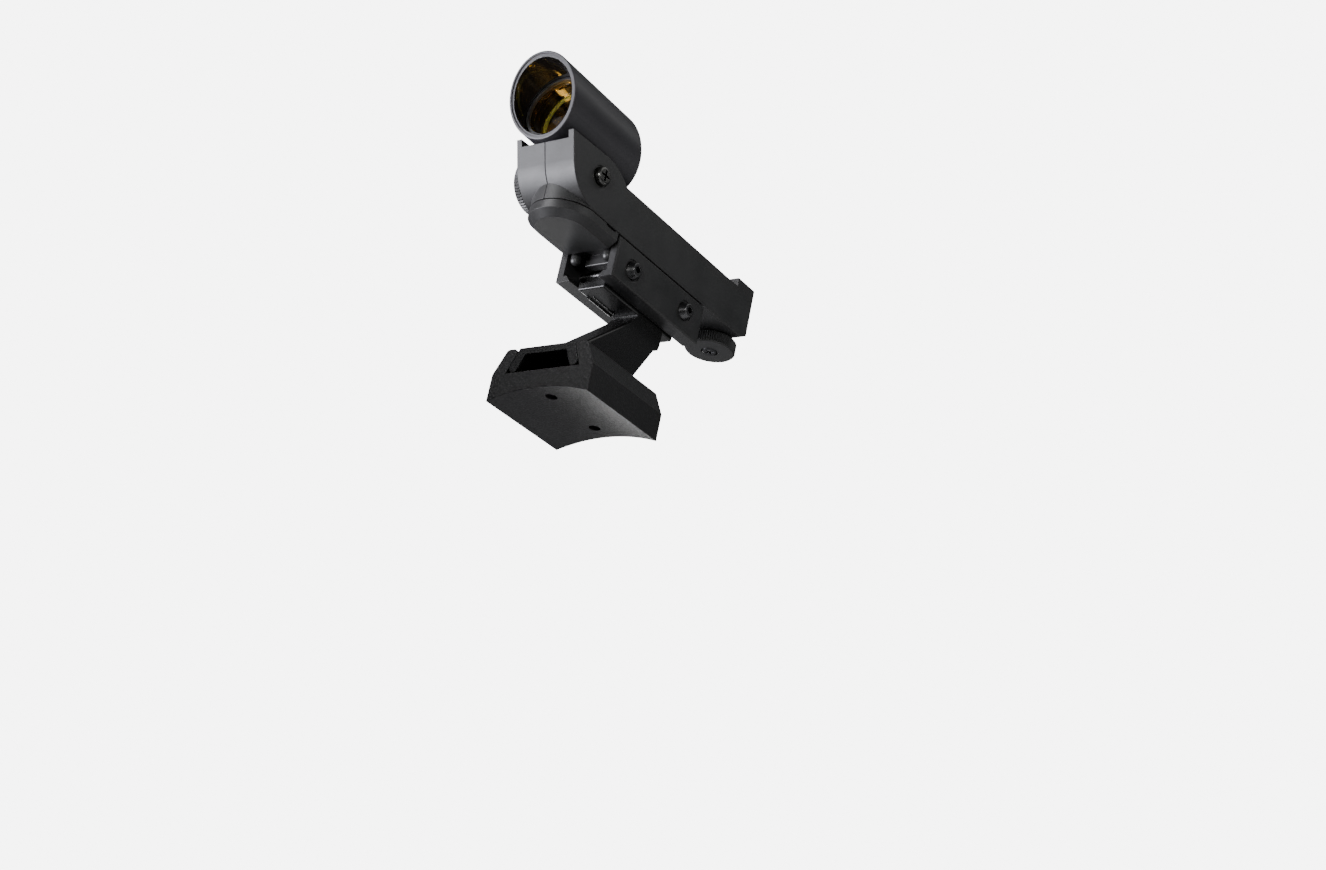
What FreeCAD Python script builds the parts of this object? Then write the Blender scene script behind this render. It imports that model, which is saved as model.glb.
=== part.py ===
"""Reflex finder (red-dot finder scope) on its sliding dovetail bracket. Millimetres, +Z up.

The sky end faces -Y, the eye end +Y, and +X is the finder's left side.
Everything is drawn from two datums, the front of the head (y = 0) and the underside of the bar (z = 0).
It is moved at the end so that the origin is the middle of the shoe's two holes, on the telescope tube.
"""
import FreeCAD
import Part
import math
import os

V = FreeCAD.Vector
X = V(1, 0, 0)
Y = V(0, 1, 0)
Z = V(0, 0, 1)

# Viewing tube
TUBE_R = 15.0
BORE_R = 13.0
TUBE_Z = 34.6
TUBE_FRONT = -6.3
TUBE_REAR = 35.2
TUBE_LEAN = 0.36
TUBE_BLANK = (-30.0, 70.0)
MOUTH_STEP_R = 14.05
MOUTH_STEP = 0.5
BAFFLE_Y = 12.0
BAFFLE_R = 11.7
BAFFLE_T = 1.4
RING_RIB_R = 13.8
TUBE_SCREW_Y = 27.5
TUBE_SCREW_X = 6.5
TUBE_SCREW_R = 1.0

# Lens in its seat
LENS_Y = 4.6
LENS_TILT = 4.0
LENS_R = 12.7
LENS_EDGE = 1.6
LENS_CURVE = 214.0
SEAT_R = 12.1
RING_T = 1.2
RING_IN = 11.7

# Housing: head and bar
HALF_W = 13.0
WALL = 2.2
INNER_X = 10.5
EDGE_ROUND = 0.35
EAR_INNER = 10.6
BAR_TOP = 18.2
EAR_TOP = 22.0
EAR_PEAK = (21.0, 22.9)
EAR_DIP = (28.6, 21.5)
LIP_RISE = 1.2
HEAD_REAR = 34.4
CURVE_R = 18.0
CURVE_Y = 20.6
BLOCK_Y = 109.9
BLOCK_TOP = 21.8
REAR_Y = 121.3
REAR_WALL = 1.3
REAR_CHAMFER = (4.4, 2.0)
CEILING = 16.2
LED_ROOM_HALF = 6.0
LED_ROOM_TOP = 20.1
LED_ROOM_WALL = 1.6
HEAD_SCREW = (19.2, 13.8)
HEAD_SCREW_SEAT = 12.7
HEAD_SCREW_LENGTH = 15.2
HEAD_SCREW_RECESS_R = 4.1
HEAD_COLUMN_R = 4.7
REAR_SCREW = (104.0, 14.9)
REAR_SCREW_DEPTH = 2.2
REAR_COLUMN_R = 2.4
THREAD_R = 1.3
ARM_OPENING = (-8.4, 8.4, 40.0, 77.6)
CONTACT_OPENINGS = ((-4.0, 4.0, 12.0, 28.0), (-3.0, 3.0, 30.2, 32.6))

# Battery compartment
CELL_Y = 20.0
CELL_R = 10.0
CELL_T = 3.2
COVER_R = 13.0
COVER_REAR = 35.0
COVER_GAP = 0.4
COVER_RIM = -3.6
COVER_BOTTOM = -6.0
COVER_BEVEL = 3.0
COVER_NOTCH = (27.8, 33.3)

# Brightness wheel and its potentiometer
WHEEL_Y = 17.0
WHEEL_Z = 12.7
WHEEL_R = 10.7
WHEEL_X = -13.4
WHEEL_T = 3.4
WHEEL_SHAFT_R = 1.5
WHEEL_RIM = 2.4
WHEEL_DISH = 0.6
POT_R = 3.3
POT_T = 4.4
BOARD_X = -4.0
BOARD_T = 1.2
BOARD_Y = (11.8, 31.0)
BOARD_Z = (5.8, 14.6)
# Components on the board: y and z ranges, and height
CHIPS = (
    (24.5, 28.5, 6.0, 9.0, 1.2),
    (13.5, 15.5, 6.6, 7.8, 0.8),
    (13.5, 15.5, 9.0, 10.2, 0.8),
    (18.0, 20.0, 6.4, 7.6, 0.8),
)

# Adjustment: swivel arm, pivots, screws
TILT_Y = 46.0
TILT_Z = 5.5
SWIVEL_Y = 54.0
PUSH_Y = 68.0
ARM_Z0 = 3.0
ARM_Z1 = 8.0
TONGUE_T = 3.0
TONGUE_HALF = 4.2
NUT_R = 2.5
KNOB_Y = 117.0
KNOB_R = 10.0
KNOB_T = 5.0
KNOB_TOP = -0.4
ALTITUDE_SCREW_TOP = 12.6
SIDE_KNOB_R = 6.5
SIDE_KNOB_T = 5.0
SIDE_KNOB_X = -14.2
ARM_HALF = 8.0
ARM_REAR = 76.0
SPRING_WIRE = 0.4
SPRING_TURNS = 5
SPRING_R = 2.5

# The light source, its legs as x and the height of each end, and its leads
LED_Z = 19.4
LED_TIP = (111.9, 18.8)
LED_R = 1.25
LED_LEG_R = 0.25
LED_LEGS = ((-0.6, 14.0), (0.6, 15.4))
LEAD_R = 0.4
LEAD_X = (7.0, 8.4)
LEAD_START = 30.0
LEAD_TURN = 3.0
LEAD_END = 117.73

# Track that slides on the rail
TRACK_Y0 = 36.4
TRACK_Y1 = 92.0
TRACK_TOP = -0.5
TRACK_BOTTOM = -16.3
TRACK_WALL = 3.2
TRACK_ROOF = 3.0
LIP_X = 6.4
LIP_T = 2.4
LIP_SLOPE = 1.9
TRACK_SCREWS = ((47.0, -9.2), (80.8, -8.0))
TRACK_SCREW_SEAT = 12.6
TRACK_NUT_DEPTH = 2.2
TRACK_NUT_FLATS = 5.4
LUG_HALF_X = 2.0
LUG_HALF_Y = 2.5
LUG_TOP = 8.6

# Stop block and round-ended pegs under the track's roof, near its front
STOP_Y = 41.6
STOP_HALF = 5.2
STOP_T = 4.0
STOP_BOTTOM = -7.9
PEG_X = 7.3
PEG_Y = 38.4
PEG_R = 1.9
PEG_END = -8.9

# Bracket: rail, stem, dovetail foot
RAIL_Y0 = 47.0
RAIL_Y1 = 85.2
RAIL_HALF = 9.3
NECK_HALF = 5.9
NECK_Y0 = 41.5
NECK_LIP = 2.9
NECK_STEP = 3.0
RAIL_TOP = -10.9
# Ribs under the neck: radius, then x and y of each end
BEADS = ((0.6, -5.1, 46.6, -5.3, 61.4), (0.35, -2.7, 47.2, -3.3, 61.0))
RAIL_BOTTOM = -17.6
FOOT_TOP = -48.2
FOOT_BOTTOM = -57.4
FOOT_HALF_TOP = 12.2
FOOT_HALF_BOTTOM = 16.0
FOOT_INNER_TOP = 9.1
FOOT_INNER_BOTTOM = 12.2
FOOT_ROOF = 2.6
FOOT_Y0 = 26.0
FOOT_Y1 = 68.0
# The stem's side outline as (y, z), from the notch under the neck round to its rear
STEM = (
    (63.4, -16.1), (63.4, -18.6), (61.7, -20.5), (30.9, -47.9), (30.9, -49.2),
    (63.2, -49.2), (77.2, -25.2), (78.6, -24.8), (79.2, -22.6), (79.2, -16.1),
)

# Shoe on the telescope tube
SHOE_FLOOR = -57.6
SHOE_HALF = 22.5
JAW_TOP_OUT = 17.8
SADDLE_TOP = -64.5
SADDLE_R = 77.0
SLIDE_GAP = 0.3
SHOE_HOLE_R = 2.2
SHOE_HOLE_SPACING = 26.0
SHOE_BLANK = 6.0
THUMB_Z = -53.0
THUMB_R = 7.0
THUMB_T = 7.0
THUMB_X = -24.6
THUMB_SHANK_R = 2.5

RUN = 0.06
FINDER_ORIGIN = V(0, -(FOOT_Y0 + FOOT_Y1) / 2, -SADDLE_TOP)


def box(x0, x1, y0, y1, z0, z1):
    return Part.makeBox(x1 - x0, y1 - y0, z1 - z0, V(x0, y0, z0))


def rod(radius, start, axis, length):
    return Part.makeCylinder(radius, length, start, axis)


def cross_rod(radius, x0, x1, y, z):
    """A cylinder along X from x0 to x1."""
    return rod(radius, V(min(x0, x1), y, z), X, abs(x1 - x0))


def upright(radius, x, y, z0, z1):
    return rod(radius, V(x, y, z0), Z, z1 - z0)


def side_prism(points, x0, x1):
    """Extrudes a closed (y, z) outline along X."""
    wire = Part.makePolygon([V(x0, y, z) for y, z in points + points[:1]])
    return Part.Face(wire).extrude(V(x1 - x0, 0, 0))


def front_prism(points, y0, y1):
    """Extrudes a closed (x, z) outline along Y."""
    wire = Part.makePolygon([V(x, y0, z) for x, z in points + points[:1]])
    return Part.Face(wire).extrude(V(0, y1 - y0, 0))


def edge_fillet(shape, radius, wanted):
    """Rounds the edges whose middle point the test accepts."""
    edges = [e for e in shape.Edges if wanted(e, e.valueAt((e.FirstParameter + e.LastParameter) / 2))]
    return shape.makeFillet(radius, edges)


def knurled(radius, depth, teeth, length):
    """A disc along +Z with a toothed rim and chamfered ends, base at z = 0."""
    points = []
    for i in range(2 * teeth):
        r = radius if i % 2 == 0 else radius - depth
        angle = math.pi * i / teeth
        points.append(V(r * math.cos(angle), r * math.sin(angle), 0))
    rim = Part.Face(Part.makePolygon(points + points[:1])).extrude(V(0, 0, length))
    chamfer = depth + 0.3
    wide = radius + 0.2
    rise = chamfer + 0.2
    lower = Part.makeCone(radius - chamfer, wide, rise)
    middle = upright(wide, 0, 0, rise, length - rise)
    upper = Part.makeCone(wide, radius - chamfer, rise, V(0, 0, length - rise))
    return rim.common(lower.fuse([middle, upper]))


def hexagon(radius):
    """The six corners of a regular hexagon."""
    angles = [math.pi / 3 * i for i in range(6)]
    return [(radius * math.cos(a), radius * math.sin(a)) for a in angles]


def end_circles(limit):
    """A test for the circular edges above a height."""
    return lambda e, m: e.Curve.TypeId == "Part::GeomCircle" and m.z > limit


def long_edges(plane):
    """A test for the edges that run along Y at a height."""
    return lambda e, m: abs(m.z - plane) < 0.01 and abs(e.tangentAt(e.FirstParameter).y) > 0.9


def side_edges(e, m):
    """The edges round the flat sides of a housing half or the track."""
    return abs(abs(m.x) - HALF_W) < 0.01 and abs(e.tangentAt(e.FirstParameter).x) < 0.1


def cross_slot(size, depth):
    """A Phillips recess cut downwards from z = 0."""
    half = size / 4.5
    slot = box(-size, size, -half, half, -depth, 0.1)
    return slot.fuse(box(-half, half, -size, size, -depth, 0.1))


def screw(head_r, head_h, shank_r, length):
    """A pan-head screw: head top at z = head_h, seat at z = 0, shank down to -length."""
    head = upright(head_r, 0, 0, 0, head_h)
    head = edge_fillet(head, head_h * 0.45, end_circles(0.01))
    slot = cross_slot(head_r * 0.62, head_h * 0.75)
    slot.translate(V(0, 0, head_h))
    body = head.fuse(upright(shank_r, 0, 0, -length, 0))
    return body.cut(slot).removeSplitter()


def button_screw(base_r, top_r, head_h, shank_r, length):
    """A button-head screw with a hexagon socket: seat at z = 0, head upwards, shank down to -length."""
    head = Part.makeCone(base_r, top_r, head_h)
    head = edge_fillet(head, 0.5, end_circles(head_h - 0.01))
    corners = [V(x, y, 0.35 * head_h) for x, y in hexagon(0.58 * top_r)]
    socket = Part.Face(Part.makePolygon(corners + corners[:1])).extrude(V(0, 0, head_h))
    return head.fuse(upright(shank_r, 0, 0, -length, 0)).cut(socket).removeSplitter()


def aim(shape, axis, place):
    """Turns a shape drawn along +Z to point along axis and moves it to place."""
    out = shape.copy()
    out.Placement = FreeCAD.Placement(V(place), FreeCAD.Rotation(Z, axis))
    return out


def front_frame():
    """The unit direction up the leaning front face and its inward normal, in (y, z)."""
    length = math.hypot(1.0, TUBE_LEAN)
    return (-TUBE_LEAN / length, 1 / length), (1 / length, TUBE_LEAN / length)


def front_point(z, inset=0.0):
    """The y of the head's leaning front at height z, moved inwards by inset."""
    (dy, dz), (ny, nz) = front_frame()
    radius = CURVE_R - inset
    y0 = CURVE_Y - radius * ny
    z0 = CURVE_R - radius * nz
    return y0 + (z - z0) * dy / dz


def head_profile(top_points, inset=0.0):
    """The housing's (y, z) outline: leaning front, round chin, flat underside, then top_points."""
    (dy, dz), (ny, nz) = front_frame()
    radius = CURVE_R - inset
    start = V(0, CURVE_Y - radius * ny, CURVE_R - radius * nz)
    half = math.radians(90) - 0.5 * math.acos(-dy)
    middle = V(0, CURVE_Y - radius * math.cos(half), CURVE_R - radius * math.sin(half))
    end = V(0, CURVE_Y, inset)
    corners = [V(0, y, z) for y, z in top_points]
    edges = [Part.Arc(start, middle, end).toShape()]
    last = end
    for corner in corners + [start]:
        edges.append(Part.makeLine(last, corner))
        last = corner
    return Part.Face(Part.Wire(edges))


def tube_cut(y_axis, sign, radius=40.0):
    """A half-space beyond the leaning end plane that crosses the tube's axis at y_axis."""
    tilt = math.degrees(math.atan(TUBE_LEAN))
    block = box(-radius, radius, 0, radius, -radius, radius)
    if sign < 0:
        block = box(-radius, radius, -radius, 0, -radius, radius)
    block.rotate(V(0, 0, 0), X, tilt)
    block.translate(V(0, y_axis, TUBE_Z))
    return block


def lens_place(offset):
    """A point on the tube's axis, offset along it from the lens seat, and the lens axis."""
    tilt = math.radians(LENS_TILT)
    axis = V(0, math.cos(tilt), -math.sin(tilt))
    return V(0, LENS_Y, TUBE_Z) + axis * offset, axis


def tube_rod(radius, start, end):
    """A cylinder on the tube's axis."""
    return rod(radius, V(0, start, TUBE_Z), Y, end - start)


def viewing_tube():
    tube = tube_rod(TUBE_R, *TUBE_BLANK)
    plinth_half = EAR_INNER - 0.1
    plinth_front = front_point(BAR_TOP) + WALL + 0.2
    plinth = box(-plinth_half, plinth_half, plinth_front, HEAD_REAR - 1.6, BAR_TOP, TUBE_Z - BORE_R)
    plinth = plinth.cut(tube_rod(TUBE_R - 0.5, *TUBE_BLANK))
    body = tube.cut([tube_cut(TUBE_FRONT, -1), tube_cut(TUBE_REAR, 1)])
    body = body.fuse(plinth)
    body = body.cut(tube_rod(BORE_R, *TUBE_BLANK))
    step = tube_rod(MOUTH_STEP_R, -30, 30).common(tube_cut(TUBE_FRONT + MOUTH_STEP, -1))
    place, axis = lens_place(0)
    seat = rod(RING_RIB_R, place, axis, 1.0).cut(rod(SEAT_R, place - axis * 2, axis, 6))
    baffle = tube_rod(RING_RIB_R, BAFFLE_Y, BAFFLE_Y + BAFFLE_T)
    baffle = baffle.cut(tube_rod(BAFFLE_R, BAFFLE_Y - 1, BAFFLE_Y + 3))
    body = body.cut(step).fuse([seat, baffle])
    body = edge_fillet(
        body,
        0.35,
        lambda e, m: e.Length > 60 and abs(math.hypot(m.x, m.z - TUBE_Z) - TUBE_R) < 0.05,
    )
    for x in (TUBE_SCREW_X, -TUBE_SCREW_X):
        body = body.cut(upright(TUBE_SCREW_R, x, TUBE_SCREW_Y, BAR_TOP - 1, BAR_TOP + 2.2))
    return body.removeSplitter()


def lens():
    """A disc against the tube's seat, hollow behind so that it mirrors the light source to the eye."""
    place, axis = lens_place(-LENS_EDGE)
    disc = Part.makeCylinder(LENS_R, LENS_EDGE)
    dish_edge = LENS_CURVE - math.sqrt(LENS_CURVE ** 2 - SEAT_R ** 2)
    bowl = Part.makeSphere(LENS_CURVE, V(0, 0, LENS_EDGE - dish_edge + LENS_CURVE))
    disc = disc.cut(bowl)
    return aim(disc, axis, place)


def lens_ring():
    place, axis = lens_place(-LENS_EDGE - RING_T)
    ring = Part.makeCylinder(LENS_R, RING_T).cut(Part.makeCylinder(RING_IN, RING_T))
    return aim(ring, axis, place)


def housing_block(side):
    """The solid outer form of one half, side = 1 for left and -1 for right."""
    chamfer_y, chamfer_z = REAR_CHAMFER
    outline = [
        (REAR_Y - chamfer_y, 0.0),
        (REAR_Y, chamfer_z),
        (REAR_Y, BLOCK_TOP),
        (BLOCK_Y, BLOCK_TOP),
        (BLOCK_Y, BAR_TOP),
        (front_point(BAR_TOP), BAR_TOP),
    ]
    block = head_profile(outline).extrude(V(side * HALF_W, 0, 0))
    root = BAR_TOP - 1
    ear_start = V(0, front_point(EAR_TOP), EAR_TOP)
    ear_peak = V(0, *EAR_PEAK)
    ear_end = V(0, HEAD_REAR, BAR_TOP)
    ear_heel = V(0, HEAD_REAR, root)
    ear_foot = V(0, front_point(root), root)
    ear_edges = [
        Part.makeLine(ear_foot, ear_start),
        Part.makeLine(ear_start, ear_peak),
        Part.Arc(ear_peak, V(0, *EAR_DIP), ear_end).toShape(),
        Part.makeLine(ear_end, ear_heel),
        Part.makeLine(ear_heel, ear_foot),
    ]
    ear = Part.Face(Part.Wire(ear_edges)).extrude(V(side * (HALF_W - EAR_INNER), 0, 0))
    ear.translate(V(side * EAR_INNER, 0, 0))
    lip_top = BAR_TOP + LIP_RISE
    lip_outline = [
        (front_point(root), root),
        (front_point(root) + WALL, root),
        (front_point(lip_top) + WALL, lip_top),
        (front_point(lip_top), lip_top),
    ]
    lip = side_prism(lip_outline, 0, side * (EAR_INNER + 0.5))
    block = block.fuse([ear, lip]).removeSplitter()
    block = edge_fillet(block, EDGE_ROUND, side_edges)
    boss = upright(COVER_R - 0.1, 0, CELL_Y, 0, 8.0)
    half_space = box(min(0, side * 30), max(0, side * 30), -10, 130, -5, 40)
    return block.fuse(boss.common(half_space)).removeSplitter()


def housing_half(side):
    outer = housing_block(side)
    inner_x = side * INNER_X
    inner_rear = REAR_Y - REAR_WALL
    corners = [(inner_rear, WALL), (inner_rear, CEILING), (front_point(CEILING, WALL), CEILING)]
    cavity = head_profile(corners, WALL).extrude(V(inner_x, 0, 0))
    led_front = BLOCK_Y + LED_ROOM_WALL
    led_outline = [
        (led_front, CEILING - 1), (inner_rear, CEILING - 1),
        (inner_rear, LED_ROOM_TOP), (led_front, LED_ROOM_TOP),
    ]
    led_room = side_prism(led_outline, 0, side * LED_ROOM_HALF)
    shell = outer.cut([cavity, led_room])
    shell = shell.fuse(housing_bosses(side))
    return shell.cut(housing_openings(side)).removeSplitter()


def housing_bosses(side):
    """Screw columns inside one half."""
    y, z = HEAD_SCREW
    ry, rz = REAR_SCREW
    below_top = box(-20, 20, 0, 130, 0, BAR_TOP)
    if side > 0:
        head = cross_rod(HEAD_COLUMN_R, 0, INNER_X + 0.5, y, z).common(below_top)
        rear = cross_rod(REAR_COLUMN_R, 0, 5.0, ry, rz)
    else:
        head = cross_rod(3.0, 0, -3.8, y, z).common(below_top)
        rear = cross_rod(REAR_COLUMN_R, 0, -INNER_X - 0.5, ry, rz)
    return [head, rear]


def housing_openings(side):
    """Everything cut out of one half after its columns are in."""
    y, z = HEAD_SCREW
    ry, rz = REAR_SCREW
    through = WALL + 0.5
    cuts = [
        box(-INNER_X, -8.0, PUSH_Y - 3.3, PUSH_Y + 3.3, -1, through),
        upright(2.15, 0, KNOB_Y, -1, through),
        cross_rod(1.5, -12.0, 12.0, TILT_Y, TILT_Z),
        led_bore(0.9),
    ]
    for x0, x1, y0, y1 in (ARM_OPENING,) + CONTACT_OPENINGS:
        cuts.append(box(x0, x1, y0, y1, -1, through))
    if side > 0:
        cuts.append(cross_rod(HEAD_SCREW_RECESS_R, HEAD_SCREW_SEAT, HALF_W + 1, y, z))
        cuts.append(cross_rod(THREAD_R, -5, HALF_W, y, z))
        cuts.append(cross_rod(THREAD_R, -1, 3.0, ry, rz))
    else:
        cuts.append(cross_rod(THREAD_R, -3.0, 1, y, z))
        cuts.append(cross_rod(THREAD_R, -HALF_W, 1, ry, rz))
        cuts.append(cross_rod(3.2, -HALF_W - 1, -HALF_W + REAR_SCREW_DEPTH, ry, rz))
        cuts.append(cross_rod(2.2, -HALF_W - 1, -INNER_X + 1, WHEEL_Y, WHEEL_Z))
        cuts.append(cross_rod(4.0, -HALF_W - 1, -INNER_X + 1, PUSH_Y, TILT_Z))
    for x in (TUBE_SCREW_X, -TUBE_SCREW_X):
        cuts.append(upright(TUBE_SCREW_R + 0.05, x, TUBE_SCREW_Y, CEILING - 1, BAR_TOP + 1))
    return cuts


def housing_screws():
    y, z = HEAD_SCREW
    ry, rz = REAR_SCREW
    head = aim(screw(3.6, 2.5, THREAD_R, HEAD_SCREW_LENGTH), X, V(HEAD_SCREW_SEAT, y, z))
    rear = aim(screw(2.7, 1.6, THREAD_R, 13.4), -X, V(-HALF_W + REAR_SCREW_DEPTH, ry, rz))
    return Part.makeCompound([head, rear])


def tube_screws():
    one = screw(2.2, 1.3, TUBE_SCREW_R, 3.6)
    places = [V(x, TUBE_SCREW_Y, CEILING) for x in (TUBE_SCREW_X, -TUBE_SCREW_X)]
    return Part.makeCompound([aim(one, -Z, place) for place in places])


def cover_outline(inset, z):
    """The round-nosed outline of the battery cover, drawn inset from its full size."""
    r = COVER_R - inset
    nose = Part.Arc(V(r, CELL_Y, z), V(0, CELL_Y - r, z), V(-r, CELL_Y, z)).toShape()
    left = Part.makeLine(V(-r, CELL_Y, z), V(-r, COVER_REAR, z))
    rear = Part.makeLine(V(-r, COVER_REAR, z), V(r, COVER_REAR, z))
    right = Part.makeLine(V(r, COVER_REAR, z), V(r, CELL_Y, z))
    return Part.Wire([nose, left, rear, right])


def battery_cover():
    rim_top = -COVER_GAP
    rim = Part.Face(cover_outline(0, COVER_RIM)).extrude(V(0, 0, rim_top - COVER_RIM))
    sections = [cover_outline(0, COVER_RIM), cover_outline(COVER_BEVEL, COVER_BOTTOM)]
    bevel = Part.makeLoft(sections, True, True)
    cover = rim.fuse(bevel).removeSplitter()
    cover = edge_fillet(cover, 0.3, lambda e, m: abs(m.z - rim_top) < 0.01)
    pocket = upright(CELL_R + 0.2, 0, CELL_Y, COVER_RIM - 0.7, 1)
    contact_room = box(-3.0, 3.0, 29.0, 33.0, COVER_RIM - 0.4, 1)
    notch = box(COVER_R - 1.0, COVER_R + 1, *COVER_NOTCH, rim_top - 0.8, 1)
    return cover.cut([pocket, contact_room, notch]).removeSplitter()


def coin_cell():
    bottom = COVER_RIM - 0.6
    can = upright(CELL_R, 0, CELL_Y, bottom, bottom + CELL_T - 0.3)
    cap = upright(CELL_R - 1.2, 0, CELL_Y, bottom, bottom + CELL_T)
    can = edge_fillet(can, 0.3, lambda e, m: m.z < bottom + 0.01 and e.Curve.TypeId == "Part::GeomCircle")
    return can.fuse(cap).removeSplitter()


def battery_contact_top():
    """Leaf that presses on the cell's cap."""
    outline = [
        (30.0, 2.2), (22.1, 2.2), (15.0, -0.95), (13.0, -0.6),
        (13.0, -0.3), (15.0, -0.62), (22.0, 2.5), (30.0, 2.5),
    ]
    return side_prism(outline, -2.5, 2.5)


def battery_contact_side():
    """Spring strip that presses on the cell's rim."""
    outline = [
        (34.5, 2.2), (31.0, 2.2), (31.0, -1.0), (30.35, -2.2), (30.9, -3.4),
        (30.6, -3.5), (30.05, -2.2), (30.7, -1.0), (30.7, 2.5), (34.5, 2.5),
    ]
    return side_prism(outline, -1.8, 1.8)


def circuit_board():
    board = box(BOARD_X - BOARD_T, BOARD_X, *BOARD_Y, *BOARD_Z)
    chips = [box(BOARD_X, BOARD_X + height, y0, y1, z0, z1) for y0, y1, z0, z1, height in CHIPS]
    return board.fuse(chips).removeSplitter()


def potentiometer():
    back = BOARD_X - BOARD_T
    can = cross_rod(POT_R, back - POT_T, back, WHEEL_Y, WHEEL_Z)
    socket = cross_rod(WHEEL_SHAFT_R + RUN, back - POT_T - 0.6, back - POT_T / 2, WHEEL_Y, WHEEL_Z)
    return can.cut(socket)


def brightness_wheel():
    disc = aim(knurled(WHEEL_R, 0.45, 60, WHEEL_T), -X, V(WHEEL_X, WHEEL_Y, WHEEL_Z))
    outer = WHEEL_X - WHEEL_T
    floor = outer + WHEEL_DISH
    dish = cross_rod(WHEEL_R - WHEEL_RIM, outer - 1, floor, WHEEL_Y, WHEEL_Z)
    shaft = cross_rod(WHEEL_SHAFT_R, WHEEL_X - 0.5, BOARD_X - BOARD_T - 2.4, WHEEL_Y, WHEEL_Z)
    mark = box(floor - 0.3, floor + 0.3, WHEEL_Y - 0.5, WHEEL_Y + 0.5, WHEEL_Z + 3.0, WHEEL_Z + 7.0)
    return disc.cut([dish]).fuse(shaft).cut(mark).removeSplitter()


def led_axis():
    """From the light source to the middle of the lens."""
    direction = V(0, LENS_Y - BLOCK_Y, TUBE_Z - LED_Z)
    return direction.normalize()


def led_bore(radius):
    return rod(radius, V(0, BLOCK_Y, LED_Z) - led_axis() * 6.0, led_axis(), 8.0)


def led_emitter():
    """A domed 2.5 mm diode with its two bent legs."""
    axis = led_axis()
    tip = V(0, *LED_TIP)
    base = tip - axis * 5.0
    parts = [rod(LED_R, base, axis, 3.7), rod(LED_R + 0.25, base, axis, 0.8)]
    for x, leg_end in LED_LEGS:
        bend = base - axis * 0.9 + V(x, 0, 0)
        parts.append(rod(LED_LEG_R, bend, axis, 1.0))
        parts.append(rod(LED_LEG_R, bend + Z * LED_LEG_R, -Z, bend.z + LED_LEG_R - leg_end))
    return Part.makeSphere(LED_R, tip - axis * 1.3).fuse(parts).removeSplitter()


def bent_lead(x, z, end_x):
    """A lead that runs back along the bar, then turns inwards to one leg of the light source."""
    centre_x = x - LEAD_TURN
    centre_y = LEAD_END - LEAD_TURN
    offset = LEAD_TURN * math.sqrt(0.5)
    a = V(x, LEAD_START, z)
    b = V(x, centre_y, z)
    middle = V(centre_x + offset, centre_y + offset, z)
    c = V(centre_x, LEAD_END, z)
    d = V(end_x, LEAD_END, z)
    path = Part.Wire([Part.makeLine(a, b), Part.Arc(b, middle, c).toShape(), Part.makeLine(c, d)])
    section = Part.Wire([Part.makeCircle(LEAD_R, a, Y)])
    return path.makePipeShell([section], True, True)


def led_wires():
    """Two insulated leads from the board to the light source."""
    (right_x, right_end), (left_x, left_end) = LED_LEGS
    inner_x, outer_x = LEAD_X
    gap = LEAD_R + 0.1
    right = bent_lead(outer_x, right_end - gap, right_x)
    left = bent_lead(inner_x, left_end - gap, left_x)
    return Part.makeCompound([right, left])


def swivel_arm():
    tongue_top = ARM_Z1 + TONGUE_T
    main = box(-ARM_HALF, ARM_HALF, TILT_Y - 3.5, ARM_REAR, ARM_Z0, ARM_Z1)
    riser = box(-TONGUE_HALF, TONGUE_HALF, ARM_REAR - 4, ARM_REAR, ARM_Z0, tongue_top)
    tip_y = KNOB_Y - 1.9
    tongue = box(-TONGUE_HALF, TONGUE_HALF, ARM_REAR, tip_y, ARM_Z1, tongue_top)
    tip = upright(TONGUE_HALF, 0, tip_y, ARM_Z1, tongue_top)
    boss = upright(5.5, 0, SWIVEL_Y, TRACK_TOP + 0.1, ARM_Z0)
    arm = main.fuse([riser, tongue, tip, boss])
    cuts = [
        box(-5.0, 5.0, PUSH_Y - 4.0, PUSH_Y + 4.0, ARM_Z0 - 1, ARM_Z1 + 4),
        cross_rod(1.5 + RUN, -9, 9, TILT_Y, TILT_Z),
        cross_rod(1.5 + RUN, -9, 9, PUSH_Y, TILT_Z),
        upright(2.0 + RUN, 0, SWIVEL_Y, -2, ARM_Z1 + 1),
        upright(NUT_R, 0, KNOB_Y, ARM_Z1 - 1, ARM_Z1 + 5),
    ]
    return arm.cut(cuts).removeSplitter()


def tilt_pin():
    return cross_rod(1.5, -12.0, 12.0, TILT_Y, TILT_Z)


def swivel_screw():
    body = screw(4.0, 2.0, 2.0, ARM_Z1 + 0.1 - TRACK_TOP + TRACK_ROOF)
    return aim(body, Z, V(0, SWIVEL_Y, ARM_Z1 + 0.1))


def altitude_nut():
    nut = upright(NUT_R, 0, KNOB_Y, ARM_Z1, ARM_Z1 + TONGUE_T + 0.4)
    return nut.cut(upright(2.2, 0, KNOB_Y, ARM_Z1 - 1, ARM_Z1 + 5))


def altitude_knob():
    knob = knurled(KNOB_R, 0.3, 72, KNOB_T)
    knob = knob.cut([upright(3.3, 0, 0, -1, 1.2), upright(2.0, 0, 0, -1, KNOB_T + 1)])
    knob.translate(V(0, KNOB_Y, KNOB_TOP - KNOB_T))
    return knob


def altitude_screw():
    seat = KNOB_TOP - KNOB_T + 1.2
    return aim(screw(3.0, 1.5, 2.0, ALTITUDE_SCREW_TOP - seat), -Z, V(0, KNOB_Y, seat))


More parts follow.
